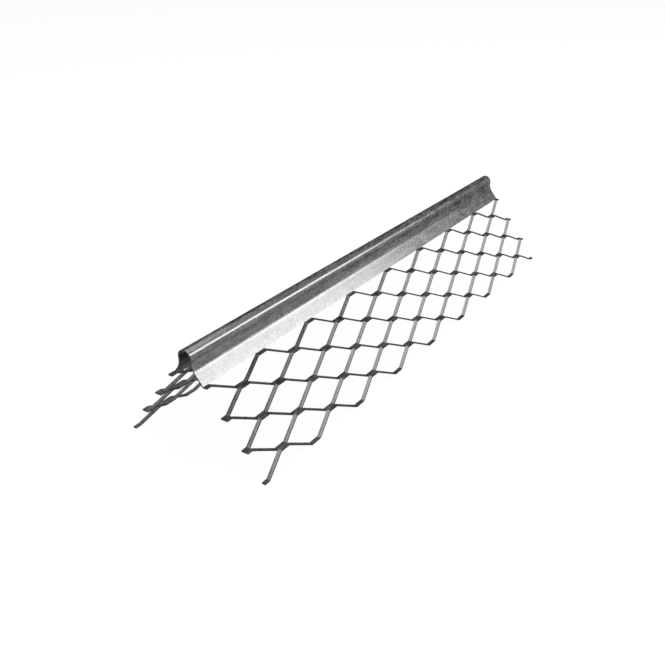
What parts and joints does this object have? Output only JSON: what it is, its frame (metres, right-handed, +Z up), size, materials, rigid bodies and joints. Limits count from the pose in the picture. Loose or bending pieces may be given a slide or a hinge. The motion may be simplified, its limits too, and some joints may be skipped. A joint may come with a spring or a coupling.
{
  "type": "plaster corner bead",
  "caption": "Galvanised steel corner bead: hollow rounded nose with a plain flange and an expanded diamond-mesh wing on each side.",
  "frame": {"origin": "middle of the bead's length, on its centre plane, at the level of the undersides of the wings' free edges", "axes": "+X along the bead, +Y across it towards one wing, +Z up through the middle of the nose"},
  "size_m": [0.2, 0.0528, 0.0354],
  "materials": {
    "galvanised_steel": "galvanised, satin, with a faint spangle"
  },
  "bodies": {
    "root": {"corner_bead": "galvanised_steel"}
  },
  "joints": []
}
